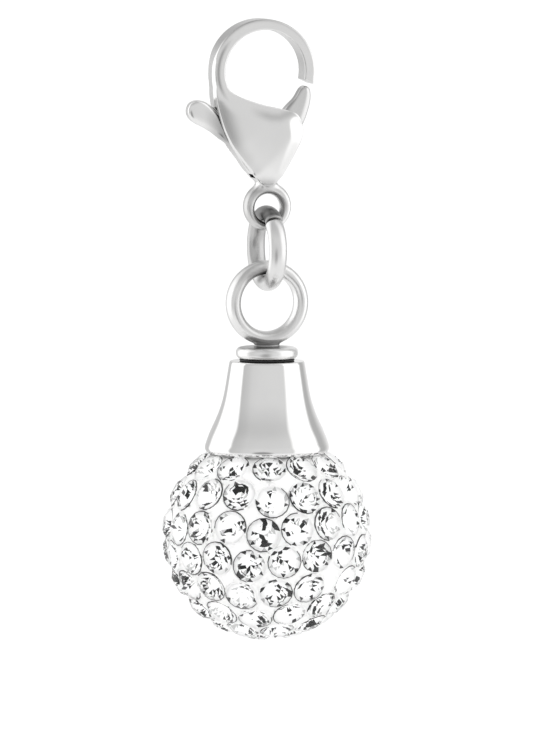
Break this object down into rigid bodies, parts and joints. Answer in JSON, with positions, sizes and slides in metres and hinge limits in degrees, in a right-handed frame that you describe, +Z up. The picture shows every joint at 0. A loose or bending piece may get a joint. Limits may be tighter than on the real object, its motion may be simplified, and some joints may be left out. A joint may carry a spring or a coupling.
{
  "type": "cremation pendant on a lobster clasp",
  "caption": "Bell-capped ball urn set with clear cut stones, hung by rings from a sprung lobster clasp; the cap unscrews for ashes.",
  "frame": {"origin": "top of the opening of the clasp's hook, where it hangs", "axes": "+Z up, the clasp and pendant ring lie in the XZ plane, front is -Y"},
  "size_m": [0.0122, 0.0122, 0.0361],
  "materials": {
    "satin_steel": "satin tumbled stainless steel",
    "polished_steel": "turned and polished stainless steel",
    "black_rubber": "matt black",
    "white_clay": "white epoxy clay, faintly grained",
    "clear_crystal": "clear cut crystal, foiled at the back"
  },
  "bodies": {
    "clasp": {"clasp_body": "satin_steel", "clasp_pin": "satin_steel"},
    "lever": {"clasp_lever": "satin_steel"},
    "link": {"link": "satin_steel"},
    "stopper": {"stopper": "polished_steel"},
    "seal": {"seal_ring": "black_rubber"},
    "urn": {"bell_cap": "polished_steel", "ball_core": "white_clay", "stones": "clear_crystal"}
  },
  "joints": [
    {"name": "lever_turn", "type": "hinge", "parent": "clasp", "child": "lever", "pos_m": [-0.00034, 0, -0.00719], "axis": [0, -1, 0], "range_deg": [0, 25], "stiffness_Nm_per_rad": 0.008},
    {"name": "link_swing", "type": "hinge", "parent": "clasp", "child": "link", "pos_m": [0, 0, -0.01208], "axis": [1, 0, 0], "range_deg": [-50, 50]},
    {"name": "pendant_swing", "type": "hinge", "parent": "link", "child": "stopper", "pos_m": [0, 0, -0.01475], "axis": [0, 1, 0], "range_deg": [-75, 75]},
    {"name": "cap_turn", "type": "hinge", "parent": "stopper", "child": "seal", "pos_m": [0, 0, -0.02], "axis": [0, 0, -1], "range_deg": [0, 2521]},
    {"name": "cap_slide", "type": "slide", "parent": "seal", "child": "urn", "axis": [0, 0, -1], "range_m": [0, 0.0035]}
  ],
  "couplings": [
    {"joint": "cap_turn", "follows": "cap_slide", "rad_per_m": 12566}
  ]
}
